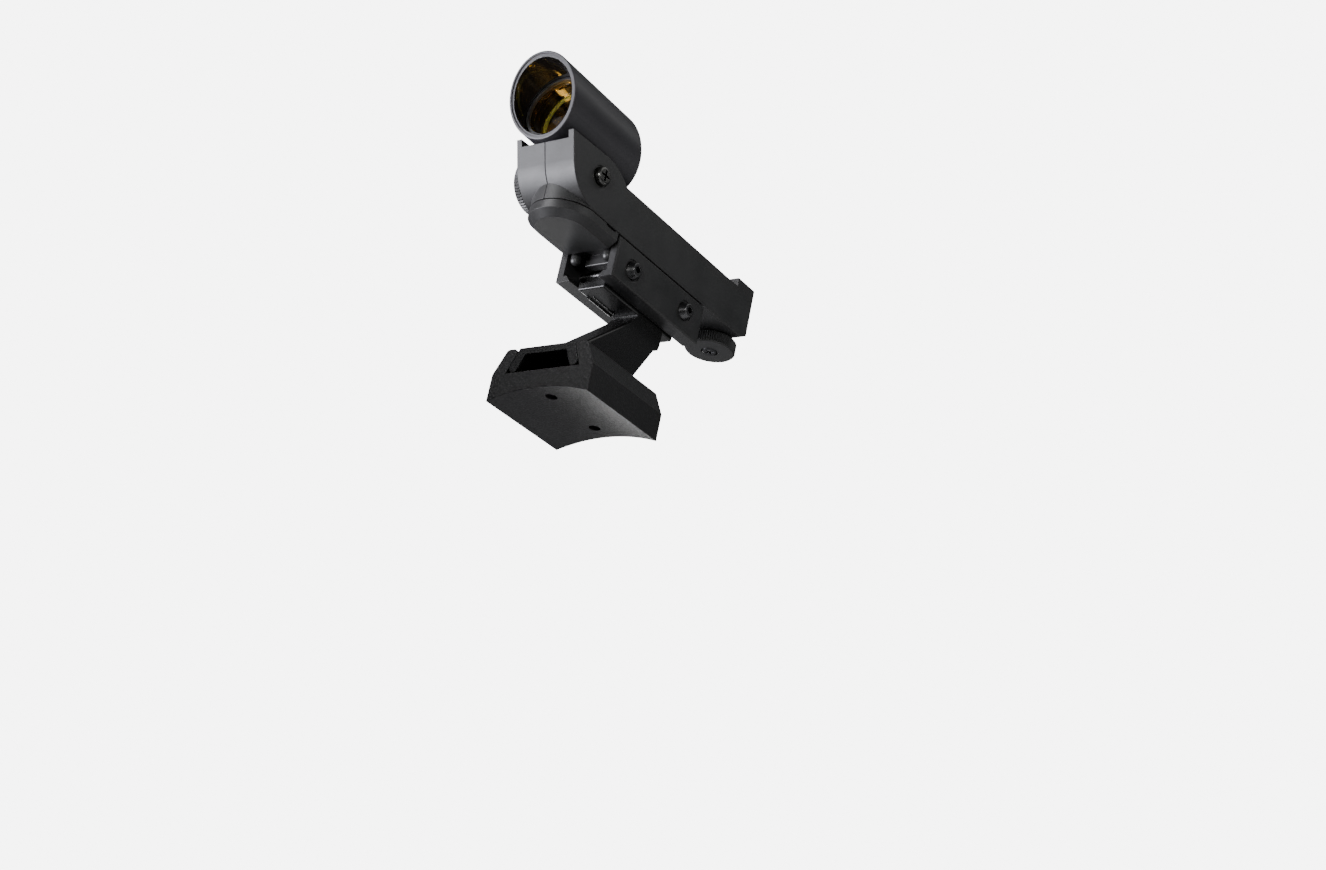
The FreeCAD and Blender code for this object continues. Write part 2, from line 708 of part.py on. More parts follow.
def altitude_spring():
    """Compression spring around the altitude screw, between the bar's floor and the tongue."""
    height = ARM_Z1 - WALL - 2 * SPRING_WIRE - 0.2
    helix = Part.makeHelix(height / SPRING_TURNS, height, SPRING_R).Edges[0]
    start = helix.valueAt(helix.FirstParameter)
    tangent = helix.tangentAt(helix.FirstParameter)
    across = tangent.cross(Z).normalize()
    up = tangent.cross(across).normalize()
    radius = SPRING_WIRE / 2
    corners = []
    for i in range(8):
        angle = math.pi * i / 4
        corners.append(start + across * (radius * math.cos(angle)) + up * (radius * math.sin(angle)))
    section = Part.makePolygon(corners + corners[:1])
    coil = Part.Wire([helix]).makePipeShell([section], True, True)
    coil.translate(V(0, KNOB_Y, WALL + SPRING_WIRE + 0.1))
    return coil


def azimuth_knob():
    disc = aim(knurled(SIDE_KNOB_R, 0.45, 36, SIDE_KNOB_T), -X, V(SIDE_KNOB_X, PUSH_Y, TILT_Z))
    hub = cross_rod(2.8, -8.1, SIDE_KNOB_X - 0.1, PUSH_Y, TILT_Z)
    return disc.fuse(hub).cut(cross_rod(1.5, -22, 0, PUSH_Y, TILT_Z)).removeSplitter()


def azimuth_screw():
    shank = cross_rod(1.5, SIDE_KNOB_X - SIDE_KNOB_T, 7.8, PUSH_Y, TILT_Z)
    slot = box(-19.8, -18.6, PUSH_Y - 0.3, PUSH_Y + 0.3, TILT_Z - 2, TILT_Z + 2)
    return shank.cut(slot)


def azimuth_clip():
    ring = cross_rod(3.0, -4.9, -4.3, PUSH_Y, TILT_Z).cut(cross_rod(1.5, -6, 0, PUSH_Y, TILT_Z))
    return ring.cut(box(-6, 0, PUSH_Y - 0.8, PUSH_Y + 0.8, TILT_Z, TILT_Z + 4))


def mounting_track():
    inner = HALF_W - TRACK_WALL
    roof_z = TRACK_TOP - TRACK_ROOF
    lip_z = TRACK_BOTTOM + LIP_T
    half = [
        (0.0, TRACK_TOP), (HALF_W, TRACK_TOP), (HALF_W, TRACK_BOTTOM), (LIP_X, TRACK_BOTTOM),
        (LIP_X + LIP_SLOPE, lip_z), (inner, lip_z), (inner, roof_z), (0.0, roof_z),
    ]
    profile = half + [(-x, z) for x, z in reversed(half[1:-1])]
    track = front_prism(profile, TRACK_Y0, TRACK_Y1)
    track = edge_fillet(track, 0.6, side_edges)
    stop = box(-STOP_HALF, STOP_HALF, STOP_Y, STOP_Y + STOP_T, STOP_BOTTOM, roof_z)
    stop = edge_fillet(stop, 0.5, lambda e, m: abs(m.y - STOP_Y) < 0.01 and abs(m.z - STOP_BOTTOM) < 0.01)
    lug = box(-LUG_HALF_X, LUG_HALF_X, PUSH_Y - LUG_HALF_Y, PUSH_Y + LUG_HALF_Y, roof_z, LUG_TOP)
    adds = [stop, lug]
    for x in (-PEG_X, PEG_X):
        adds.append(upright(PEG_R, x, PEG_Y, PEG_END + PEG_R, roof_z))
        adds.append(Part.makeSphere(PEG_R, V(x, PEG_Y, PEG_END + PEG_R)))
    track = track.fuse(adds)
    cuts = [cross_rod(1.85, -3, 3, PUSH_Y, TILT_Z), upright(2.0, 0, SWIVEL_Y, roof_z - 1, 0)]
    for y, z in TRACK_SCREWS:
        cuts.append(cross_rod(1.5, -HALF_W - 1, HALF_W + 1, y, z))
        cuts.append(cross_rod(4.2, TRACK_SCREW_SEAT, HALF_W + 1, y, z))
        cuts.append(hex_rod(TRACK_NUT_FLATS + 0.2, -HALF_W - 1, -HALF_W + TRACK_NUT_DEPTH, y, z))
    return track.cut(cuts).removeSplitter()


def hex_rod(flats, x0, x1, y, z):
    points = [(y + dy, z + dz) for dy, dz in hexagon(flats / math.sqrt(3))]
    return side_prism(points, x0, x1)


def track_screws():
    one = button_screw(3.6, 2.5, 2.8, 1.5, TRACK_SCREW_SEAT + HALF_W - 0.4)
    return Part.makeCompound([aim(one, X, V(TRACK_SCREW_SEAT, y, z)) for y, z in TRACK_SCREWS])


def track_nuts():
    nuts = []
    for y, z in TRACK_SCREWS:
        nut = hex_rod(TRACK_NUT_FLATS, -HALF_W - 0.1, -HALF_W + TRACK_NUT_DEPTH, y, z)
        nuts.append(nut.cut(cross_rod(1.5, -HALF_W - 1, 0, y, z)))
    return Part.makeCompound(nuts)


def bead(radius, x0, y0, x1, y1):
    """A round-ended rib along the neck's underside."""
    start = V(x0, y0, RAIL_BOTTOM)
    run = V(x1, y1, RAIL_BOTTOM) - start
    ends = [Part.makeSphere(radius, start), Part.makeSphere(radius, start + run)]
    return rod(radius, start, run, run.Length).fuse(ends)


def stem_edges(e, m):
    """The long edges down the sloped stem's sides."""
    return e.Length > 20 and abs(abs(m.x) - NECK_HALF) < 0.01 and m.z > FOOT_TOP


def adapter_bracket():
    lip_z = TRACK_BOTTOM + LIP_T
    head = box(-RAIL_HALF, RAIL_HALF, RAIL_Y0, RAIL_Y1, lip_z + 0.3, RAIL_TOP)
    head = edge_fillet(head, 0.5, lambda e, m: abs(m.y - RAIL_Y0) < 0.01)
    step_y = NECK_Y0 + NECK_STEP
    step_z = RAIL_BOTTOM + NECK_LIP
    neck_outline = [
        (NECK_Y0, RAIL_BOTTOM), (RAIL_Y1, RAIL_BOTTOM), (RAIL_Y1, RAIL_TOP),
        (step_y, RAIL_TOP), (step_y, step_z), (NECK_Y0, step_z),
    ]
    neck = side_prism(neck_outline, -NECK_HALF, NECK_HALF)
    neck = edge_fillet(neck, 0.6, lambda e, m: m.z < RAIL_BOTTOM + 0.01 and m.y < RAIL_Y1 - 0.01)
    neck = neck.fuse([bead(*line) for line in BEADS])
    stem = side_prism(list(STEM), -NECK_HALF, NECK_HALF)
    stem = edge_fillet(stem, 0.9, stem_edges)
    top, bottom = FOOT_TOP, FOOT_BOTTOM
    foot_half = [
        (0, top), (FOOT_HALF_TOP, top), (FOOT_HALF_BOTTOM, bottom),
        (FOOT_INNER_BOTTOM, bottom), (FOOT_INNER_TOP, top - FOOT_ROOF), (0, top - FOOT_ROOF),
    ]
    foot = front_prism(foot_half + [(-x, z) for x, z in reversed(foot_half[1:-1])], FOOT_Y0, FOOT_Y1)
    foot = edge_fillet(foot, 1.6, long_edges(bottom))
    return head.fuse([neck, stem, foot]).removeSplitter()


def dovetail_shoe():
    slope = (FOOT_HALF_BOTTOM - FOOT_HALF_TOP) / (FOOT_TOP - FOOT_BOTTOM)
    inner_top = FOOT_HALF_TOP + SLIDE_GAP
    inner_bottom = inner_top + slope * (FOOT_TOP - SHOE_FLOOR)
    blank_z = SADDLE_TOP - SHOE_BLANK
    jaw = [
        (0.0, SHOE_FLOOR), (inner_bottom, SHOE_FLOOR), (inner_top, FOOT_TOP), (JAW_TOP_OUT, FOOT_TOP),
        (SHOE_HALF, SHOE_FLOOR + 0.1), (SHOE_HALF, blank_z), (0.0, blank_z),
    ]
    profile = jaw + [(-x, z) for x, z in reversed(jaw[1:-1])]
    shoe = front_prism(profile, FOOT_Y0, FOOT_Y1)
    shoe = edge_fillet(shoe, 1.6, long_edges(FOOT_TOP))
    tube = rod(SADDLE_R, V(0, FOOT_Y0 - 5, SADDLE_TOP - SADDLE_R), Y, FOOT_Y1 - FOOT_Y0 + 10)
    cuts = [tube]
    middle = (FOOT_Y0 + FOOT_Y1) / 2
    for y in (middle - SHOE_HOLE_SPACING / 2, middle + SHOE_HOLE_SPACING / 2):
        cuts.append(upright(SHOE_HOLE_R, 0, y, SADDLE_TOP - 8, SHOE_FLOOR + 1))
    cuts.append(cross_rod(THUMB_SHANK_R + RUN, -SHOE_HALF - 1, -inner_top + 1, middle, THUMB_Z))
    return shoe.cut(cuts).removeSplitter()


def shoe_thumbscrew():
    middle = (FOOT_Y0 + FOOT_Y1) / 2
    shank = cross_rod(THUMB_SHANK_R, -17.2, THUMB_X + 0.1, middle, THUMB_Z)
    tip = cross_rod(1.8, -15.6, -17.3, middle, THUMB_Z)
    collar = cross_rod(4.2, -23.2, THUMB_X - 0.4, middle, THUMB_Z)
    head = aim(knurled(THUMB_R, 0.5, 40, THUMB_T), -X, V(THUMB_X, middle, THUMB_Z))
    return shank.fuse([tip, collar, head]).removeSplitter()


NODES = {
    "viewing_tube": viewing_tube,
    "lens": lens,
    "lens_ring": lens_ring,
    "housing_left": lambda: housing_half(1),
    "housing_right": lambda: housing_half(-1),
    "housing_screws": housing_screws,
    "tube_screws": tube_screws,
    "battery_cover": battery_cover,
    "coin_cell": coin_cell,
    "battery_contact_top": battery_contact_top,
    "battery_contact_side": battery_contact_side,
    "circuit_board": circuit_board,
    "potentiometer": potentiometer,
    "brightness_wheel": brightness_wheel,
    "led_emitter": led_emitter,
    "led_wires": led_wires,
    "swivel_arm": swivel_arm,
    "tilt_pin": tilt_pin,
    "swivel_screw": swivel_screw,
    "altitude_nut": altitude_nut,
    "altitude_knob": altitude_knob,
    "altitude_screw": altitude_screw,
    "altitude_spring": altitude_spring,
    "azimuth_knob": azimuth_knob,
    "azimuth_screw": azimuth_screw,
    "azimuth_clip": azimuth_clip,
    "mounting_track": mounting_track,
    "track_screws": track_screws,
    "track_nuts": track_nuts,
    "adapter_bracket": adapter_bracket,
    "dovetail_shoe": dovetail_shoe,
    "shoe_thumbscrew": shoe_thumbscrew,
}


def main():
    os.makedirs("parts", exist_ok=True)
    for name, make in NODES.items():
        shape = make()
        shape.translate(FINDER_ORIGIN)
        shape.exportStep(os.path.join("parts", name + ".step"))
        print(name, len(shape.Solids), round(shape.Volume, 1), shape.isValid())


main()
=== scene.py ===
import math

import bpy
from mathutils import Matrix, Quaternion, Vector


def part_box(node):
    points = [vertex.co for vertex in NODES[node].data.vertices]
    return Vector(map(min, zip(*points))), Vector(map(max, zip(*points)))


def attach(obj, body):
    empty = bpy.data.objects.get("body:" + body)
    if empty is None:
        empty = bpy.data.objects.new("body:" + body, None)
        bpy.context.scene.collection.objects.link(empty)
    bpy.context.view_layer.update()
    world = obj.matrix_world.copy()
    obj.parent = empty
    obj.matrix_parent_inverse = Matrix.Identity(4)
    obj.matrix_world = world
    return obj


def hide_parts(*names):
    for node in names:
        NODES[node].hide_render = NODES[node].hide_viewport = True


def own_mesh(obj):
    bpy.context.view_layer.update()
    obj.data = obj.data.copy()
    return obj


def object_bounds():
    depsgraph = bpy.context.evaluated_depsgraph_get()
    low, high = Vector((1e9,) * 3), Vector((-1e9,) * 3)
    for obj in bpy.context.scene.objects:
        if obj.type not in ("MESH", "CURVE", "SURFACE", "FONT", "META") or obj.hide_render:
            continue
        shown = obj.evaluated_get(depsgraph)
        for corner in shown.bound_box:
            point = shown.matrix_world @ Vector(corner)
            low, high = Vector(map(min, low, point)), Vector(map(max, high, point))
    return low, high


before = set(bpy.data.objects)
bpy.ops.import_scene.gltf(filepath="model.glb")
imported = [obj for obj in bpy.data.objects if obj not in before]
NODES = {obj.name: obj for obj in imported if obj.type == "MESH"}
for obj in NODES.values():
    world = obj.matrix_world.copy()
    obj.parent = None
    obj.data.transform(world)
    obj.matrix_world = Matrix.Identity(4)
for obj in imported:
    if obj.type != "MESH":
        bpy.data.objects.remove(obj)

CAD_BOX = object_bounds()

# Lengths are in metres, angles in degrees and light powers in watts.

# Camera: where it stands, how it is turned, and its lens and sensor in millimetres
CAMERA_PLACE = Vector((0.4328, -0.4890, -0.2680))
CAMERA_AZIMUTH = 38.65
CAMERA_ELEVATION = 22.23
CAMERA_ROLL = 11.59
CAMERA_LENS = 54.3
CAMERA_SENSOR = 36.0
CAMERA_NEAR, CAMERA_FAR = 0.01, 20.0

# What the materials follow: the housing's parting line, the tube's bore and its stop ring, which
# carries painted amber light
SEAM_HALF = 0.00022
SEAM_RELIEF = 0.0006
TUBE_AXIS_Z = 0.0991
BORE_EDGE = 0.0131
BORE_BLEND = 0.0002
STOP_RING_Y = -0.0350
STOP_RING_HALF = 0.0003
STOP_RING_BLEND = 0.0001

# Edges: how far they look rounded and worn, and how sharp an edge has to be to wear
EDGE_ROUNDING = 0.00022
WEAR_REACH = 0.0004
WEAR_FROM, WEAR_TO = 0.02, 0.3
BEVEL_SAMPLES = 4

# How high a grain of full strength stands
GRAIN_RELIEF = 0.0002
FINE_RELIEF = 0.0001

# The part of a noise's range, which stays near one half, that makes the full change
TONE_LOW, TONE_HIGH = 0.35, 0.65
ROUGH_LOW, ROUGH_HIGH = 0.3, 0.7

# Noise stretched along the marks of a tool or a flow, as scales on X, Y and Z
LENGTHWISE = (1800.0, 30.0, 1800.0)
ACROSS = (40.0, 2200.0, 2200.0)
UPWARDS = (2200.0, 2200.0, 50.0)
FLOW_LINES = (700.0, 25.0, 700.0)

ZINC = (0.62, 0.62, 0.60, 1.0)
BRASS = (0.62, 0.45, 0.17, 1.0)
SPRING_STEEL = (0.50, 0.50, 0.48, 1.0)
OXIDE = (0.045, 0.045, 0.048, 1.0)
WORN_OXIDE = (0.10, 0.10, 0.10, 1.0)
DARK_NICKEL = (0.10, 0.10, 0.095, 1.0)
PALE_NICKEL = (0.60, 0.60, 0.58, 1.0)
CELL_CAN = (0.66, 0.65, 0.62, 1.0)
TUBE_DARK = (0.014, 0.0135, 0.016, 1.0)
TUBE_PALE = (0.019, 0.018, 0.021, 1.0)
# Painted light: the amber glow that light through the lens throws on the bore's stop ring
STOP_RING_PAINTED_LIGHT = (0.42, 0.38, 0.06, 1.0)
AMBER_DEEP = (1.0, 0.50, 0.06, 1.0)
AMBER_PALE = (0.95, 0.62, 0.12, 1.0)
LENS_COVERAGE = 0.22
POT_BLUE = (0.04, 0.09, 0.30, 1.0)
LED_RED = (0.75, 0.04, 0.02, 1.0)
WIRE_RED = (0.42, 0.03, 0.025, 1.0)
MASK_GREEN = (0.012, 0.09, 0.035, 1)
MASK_SHADE = (0.010, 0.075, 0.03, 1)
MASK_LINE = (0.03, 0.19, 0.07, 1)
SOLDER = (0.55, 0.56, 0.55, 1)

# The altitude spring's coil: its wire, turns and facets, and the pitch of its closed end turns in wire
# widths
SPRING_WIRE = 0.0004
SPRING_TURNS = 5
SPRING_STEPS = 32
SPRING_SIDES = 10
SPRING_CLOSED_PITCH = 1.05

# Studio
ROOM_GLOW = 0.10
ROOM_TINT = (0.92, 0.94, 1.0, 1)
BACKDROP_GLOW = 6.5
BACKDROP_TINT = (1, 1, 1, 1)
FLOOR_Z = -0.55
FLOOR_SIZE = 3.0
FLAG_PLACE = (-0.045, -0.050, 0.022)
FLAG_ALONG = (0.73, -0.68, 0.0)
FLAG_HALF = 0.2
FLAG_DROP = 0.35

# Soft lights on the whole object: name, direction, distance, width and height, power, colour
WHITE = (1, 1, 1)
SOFT_LIGHTS = (
    ("front_soft", (-0.66, -0.71, -0.25), 0.9, (0.56, 0.40), 22.0, (0.93, 0.93, 1.0)),
    ("upper_front_soft", (-0.30, -0.72, 0.62), 0.9, (0.35, 0.35), 5.0, (0.98, 0.98, 1.0)),
    ("rear_soft", (-0.74, 0.67, -0.06), 1.2, (0.16, 0.34), 1.5, WHITE),
    ("top_soft", (0.55, 0.35, 0.75), 0.9, (0.7, 0.5), 1.2, WHITE),
    ("rear_top_soft", (-0.46, 0.66, 0.59), 1.0, (0.3, 0.3), 0.8, WHITE),
    ("side_soft", (0.72, 0.66, -0.12), 0.9, (0.4, 0.4), 0.50, WHITE),
    ("left_soft", (0.97, -0.06, 0.22), 1.0, (0.5, 0.5), 1.4, WHITE),
)

# Lights with another aim: onto the floor, into the tube's mouth, and a small card that the lens
# and the bore mirror as an amber wedge
FLOOR_LAMP = (0.0, 0.0, -0.2)
MOUTH = (0.0, -0.0533, 0.0991)
MOUTH_SPREAD = 12.0
GLINT = (-0.0070, -0.0551, 0.1002)
GLINT_SPREAD = 40.0
GLINT_TURN = -4.7
FULL_SPREAD = 180.0


# ---------------------------------------------------------------- helpers

def new_object(name, data):
    thing = bpy.data.objects.new(name, data)
    bpy.context.scene.collection.objects.link(thing)
    return thing


def new_mesh(name, corners, faces, look):
    mesh = bpy.data.meshes.new(name)
    mesh.from_pydata([tuple(corner) for corner in corners], [], faces)
    mesh.materials.append(look)
    return mesh


def grey(value, warm=0.0):
    return (value * (1 + warm), value, value * (1 - warm), 1.0)


def darker(colour, share):
    return tuple(part * share for part in colour[:3]) + (1.0,)


def polished(colour):
    return tuple(min(1.0, part * 1.5 + 0.15 * part ** 0.5) for part in colour[:3]) + (1.0,)


def even(scale):
    return (scale, scale, scale)


class Nodes:
    """A small builder for one material's node tree."""

    def __init__(self, name):
        self.material = bpy.data.materials.new(name)
        self.material.use_nodes = True
        self.tree = self.material.node_tree
        self.tree.nodes.clear()
        self.output = self.add("ShaderNodeOutputMaterial")
        self.place = self.add("ShaderNodeTexCoord").outputs["Object"]

    def add(self, kind, **settings):
        node = self.tree.nodes.new(kind)
        for key, value in settings.items():
            setattr(node, key, value)
        return node

    def link(self, source, target):
        self.tree.links.new(source, target)

    def feed(self, socket, value):
        if isinstance(value, bpy.types.NodeSocket):
            self.link(value, socket)
        else:
            socket.default_value = value

    def stretched(self, scale):
        node = self.add("ShaderNodeMapping")
        self.link(self.place, node.inputs["Vector"])
        node.inputs["Scale"].default_value = scale
        return node.outputs["Vector"]

    def axis(self, letter):
        node = self.add("ShaderNodeSeparateXYZ")
        self.link(self.place, node.inputs["Vector"])
        return node.outputs[letter]

    def noise(self, scale, detail=2.0, rough=0.5, vector=None):
        node = self.add("ShaderNodeTexNoise")
        self.link(vector or self.place, node.inputs["Vector"])
        node.inputs["Scale"].default_value = scale
        node.inputs["Detail"].default_value = detail
        node.inputs["Roughness"].default_value = rough
        return node.outputs["Fac"]

    def spots(self, scale, low, high):
        """1 at scattered points, falling to 0 between two distances from them."""
        node = self.add("ShaderNodeTexVoronoi")
        self.link(self.place, node.inputs["Vector"])
        node.inputs["Scale"].default_value = scale
        return self.span(node.outputs["Distance"], low, high, 1.0, 0.0)

    def span(self, value, low, high, to_low, to_high):
        node = self.add("ShaderNodeMapRange")
        self.link(value, node.inputs["Value"])
        ends = {"From Min": low, "From Max": high, "To Min": to_low, "To Max": to_high}
        for key, number in ends.items():
            node.inputs[key].default_value = number
        return node.outputs["Result"]

    def tones(self, noise, to_low=0.0, to_high=1.0):
        return self.span(noise, TONE_LOW, TONE_HIGH, to_low, to_high)

    def roughs(self, noise, to_low, to_high):
        return self.span(noise, ROUGH_LOW, ROUGH_HIGH, to_low, to_high)

    def math(self, operation, a, b=0.0):
        node = self.add("ShaderNodeMath", operation=operation)
        self.feed(node.inputs[0], a)
        self.feed(node.inputs[1], b)
        return node.outputs[0]

    def plus(self, a, b):
        return self.math("ADD", a, b)

    def minus(self, a, b):
        return self.math("SUBTRACT", a, b)

    def times(self, a, b):
        return self.math("MULTIPLY", a, b)

    def mix(self, factor, a, b):
        node = self.add("ShaderNodeMix", data_type="RGBA")
        self.feed(node.inputs["Factor"], factor)
        self.feed(node.inputs[6], a)
        self.feed(node.inputs[7], b)
        return node.outputs[2]

    def bump(self, height, strength, relief, normal=None):
        node = self.add("ShaderNodeBump")
        node.inputs["Strength"].default_value = strength
        node.inputs["Distance"].default_value = relief
        self.link(height, node.inputs["Height"])
        if normal is not None:
            self.link(normal, node.inputs["Normal"])
        return node.outputs["Normal"]

    def soft_edges(self, radius):
        node = self.add("ShaderNodeBevel")
        node.samples = BEVEL_SAMPLES
        node.inputs["Radius"].default_value = radius
        return node.outputs["Normal"]

    def edge_mask(self, radius):
        """1 on the object's edges and 0 on its flats."""
        wide = self.soft_edges(radius)
        flat = self.add("ShaderNodeNewGeometry").outputs["Normal"]
        node = self.add("ShaderNodeVectorMath", operation="DOT_PRODUCT")
        self.link(wide, node.inputs[0])
        self.link(flat, node.inputs[1])
        return self.span(node.outputs["Value"], 1.0 - WEAR_FROM, 1.0 - WEAR_TO, 0.0, 1.0)

    def surface(self, **values):
        shader = self.add("ShaderNodeBsdfPrincipled")
        for key, value in values.items():
            self.feed(shader.inputs[key.replace("_", " ").title().replace("Ior", "IOR")], value)
        self.link(shader.outputs["BSDF"], self.output.inputs["Surface"])
        return self.material


# ---------------------------------------------------------------- materials

def moulded_plastic(name, tone, rough, grain, depth, seam=False):
    """Black moulded plastic: fine grain, slow mottling, slightly polished and paler edges."""
    n = Nodes(name)
    slow = n.noise(90.0, detail=3.0)
    fine = n.noise(grain, detail=3.0, rough=0.6)
    patchy = n.span(n.noise(420.0, detail=4.0), 0.42, 0.6, 0.2, 1.0)
    edges = n.times(n.edge_mask(WEAR_REACH), patchy)
    colour = n.mix(n.tones(slow), grey(tone * 0.82), grey(tone * 1.2))
    colour = n.mix(n.times(edges, 0.5), colour, grey(tone * 4.0))
    specks = n.times(n.spots(900.0, 0.05, 0.11), n.span(n.noise(35.0), 0.55, 0.7, 0.0, 0.5))
    colour = n.mix(specks, colour, grey(tone * 3.0))
    roughness = n.plus(n.roughs(slow, rough - 0.05, rough + 0.06), n.roughs(fine, -0.04, 0.04))
    roughness = n.minus(roughness, n.times(edges, 0.08))
    normal = n.bump(fine, depth, GRAIN_RELIEF, n.soft_edges(EDGE_ROUNDING))
    if seam:
        parting = n.span(n.math("ABSOLUTE", n.axis("X")), 0.0, SEAM_HALF, 1.0, 0.0)
        colour = n.mix(parting, colour, grey(0.001))
        roughness = n.plus(roughness, n.times(parting, 0.5))
        normal = n.bump(n.minus(1.0, parting), 0.9, SEAM_RELIEF, normal)
    return n.surface(base_color=colour, roughness=roughness, normal=normal)


def powder_coat(name, tone, rough, scale, depth, shine=0.5):
    """Sprayed black coat on metal: orange-peel bumps with paler tips."""
    n = Nodes(name)
    slow = n.noise(70.0)
    peel = n.noise(scale, rough=0.55)
    fine = n.noise(scale * 4.0)
    patchy = n.span(n.noise(500.0, detail=4.0), 0.45, 0.6, 0.1, 1.0)
    edges = n.times(n.edge_mask(0.0005), patchy)
    colour = n.mix(n.tones(slow), grey(tone * 0.85), grey(tone * 1.15))
    colour = n.mix(n.span(peel, 0.55, 0.75, 0.0, 0.5), colour, grey(tone * 2.6))
    colour = n.mix(n.times(edges, 0.6), colour, grey(tone * 4.5))
    roughness = n.roughs(peel, rough + 0.06, rough - 0.06)
    normal = n.bump(n.plus(peel, n.times(fine, 0.25)), depth, 0.0003, n.soft_edges(0.0003))
    return n.surface(base_color=colour, roughness=roughness, normal=normal,
                     specular_ior_level=shine)


def metal(name, colour, rough, marks, depth=0.12, dirt=0.3, dark=0.25, metallic=1.0):
    """Turned or rolled metal with fine tool marks, dull patches and brighter edges."""
    n = Nodes(name)
    lines = n.noise(1.0, detail=4.0, rough=0.6, vector=n.stretched(marks))
    patches = n.noise(260.0, detail=4.0, rough=0.6)
    edges = n.edge_mask(0.0003)
    stained = n.mix(n.span(patches, 0.45, 0.7, 0.0, dirt), colour, darker(colour, dark))
    bright = n.mix(edges, stained, polished(colour))
    roughness = n.plus(n.roughs(lines, rough - 0.06, rough + 0.08),
                       n.span(patches, 0.5, 0.7, 0.0, 0.1))
    normal = n.bump(lines, depth, GRAIN_RELIEF, n.soft_edges(0.00018))
    return n.surface(base_color=bright, roughness=roughness, metallic=metallic, normal=normal)


def tube_plastic():
    """Satin outside with lengthwise flow lines, and a glossy bore with a stop ring painted amber:
    painted light for the glow the lens lets onto it.
    """
    n = Nodes("tube_satin")
    slow = n.noise(60.0)
    fine = n.noise(2600.0)
    lines = n.noise(1.0, vector=n.stretched(FLOW_LINES))
    across = n.axis("X")
    rise = n.minus(n.axis("Z"), TUBE_AXIS_Z)
    radius = n.math("SQRT", n.plus(n.times(across, across), n.times(rise, rise)))
    inside = n.span(radius, BORE_EDGE, BORE_EDGE + BORE_BLEND, 1.0, 0.0)
    outside = n.minus(1.0, inside)
    # The band of the stop ring that gets the painted amber light
    along = n.math("ABSOLUTE", n.minus(n.axis("Y"), STOP_RING_Y))
    painted_light_band = n.span(along, STOP_RING_HALF, STOP_RING_HALF + STOP_RING_BLEND, 1.0, 0.0)
    edges = n.times(n.edge_mask(WEAR_REACH), n.span(fine, 0.42, 0.6, 0.3, 1.0))
    skin = n.mix(n.tones(slow), TUBE_DARK, TUBE_PALE)
    skin = n.mix(n.times(edges, 0.4), skin, grey(0.045))
    bore = n.mix(slow, grey(0.003, warm=0.1), grey(0.006, warm=0.15))
    colour = n.mix(inside, skin, bore)
    # Painted light: the stop ring band is coloured amber for the light the lens lets onto it
    colour = n.mix(n.times(painted_light_band, inside), colour, STOP_RING_PAINTED_LIGHT)
    satin = n.plus(n.roughs(slow, 0.40, 0.48), n.roughs(lines, -0.05, 0.05))
    smooth = n.roughs(slow, 0.022, 0.028)
    roughness = n.plus(n.times(smooth, inside), n.times(satin, outside))
    height = n.times(n.plus(fine, lines), outside)
    normal = n.bump(height, 0.08, GRAIN_RELIEF, n.soft_edges(EDGE_ROUNDING))
    return n.surface(base_color=colour, roughness=roughness, normal=normal)


def coated_glass():
    """Lens with an amber mirror coating that lets most of the light through."""
    n = Nodes("lens_coating")
    colour = n.mix(n.tones(n.noise(60.0)), AMBER_DEEP, AMBER_PALE)
    roughness = n.tones(n.noise(80.0), 0.0, 0.003)
    return n.surface(base_color=colour, roughness=roughness, metallic=1.0, alpha=LENS_COVERAGE)


def resin(name, colour, rough, transmission=0.0):
    """Smooth plastic or clear resin with slight swirls."""
    n = Nodes(name)
    swirl = n.noise(400.0, detail=3.0)
    mixed = n.mix(n.tones(swirl), darker(colour, 0.7), colour)
    roughness = n.roughs(swirl, rough - 0.03, rough + 0.05)
    normal = n.bump(n.noise(1500.0), 0.08, FINE_RELIEF, n.soft_edges(0.00015))
    return n.surface(base_color=mixed, roughness=roughness, normal=normal,
                     transmission_weight=transmission)


def circuit_green():
    """Solder mask over copper tracks, with tinned pads."""
    n = Nodes("solder_mask")
    tracks = n.add("ShaderNodeTexBrick")
    n.link(n.stretched(even(1.0)), tracks.inputs["Vector"])
    look = {"Scale": 420.0, "Mortar Size": 0.06,
            "Color1": MASK_GREEN, "Color2": MASK_SHADE, "Mortar": MASK_LINE}
    for key, value in look.items():
        tracks.inputs[key].default_value = value
    pads = n.spots(520.0, 0.12, 0.16)
    colour = n.mix(pads, tracks.outputs["Color"], SOLDER)
    roughness = n.span(pads, 0.0, 1.0, 0.35, 0.22)
    normal = n.bump(tracks.outputs["Fac"], 0.3, FINE_RELIEF)
    return n.surface(base_color=colour, roughness=roughness, normal=normal)


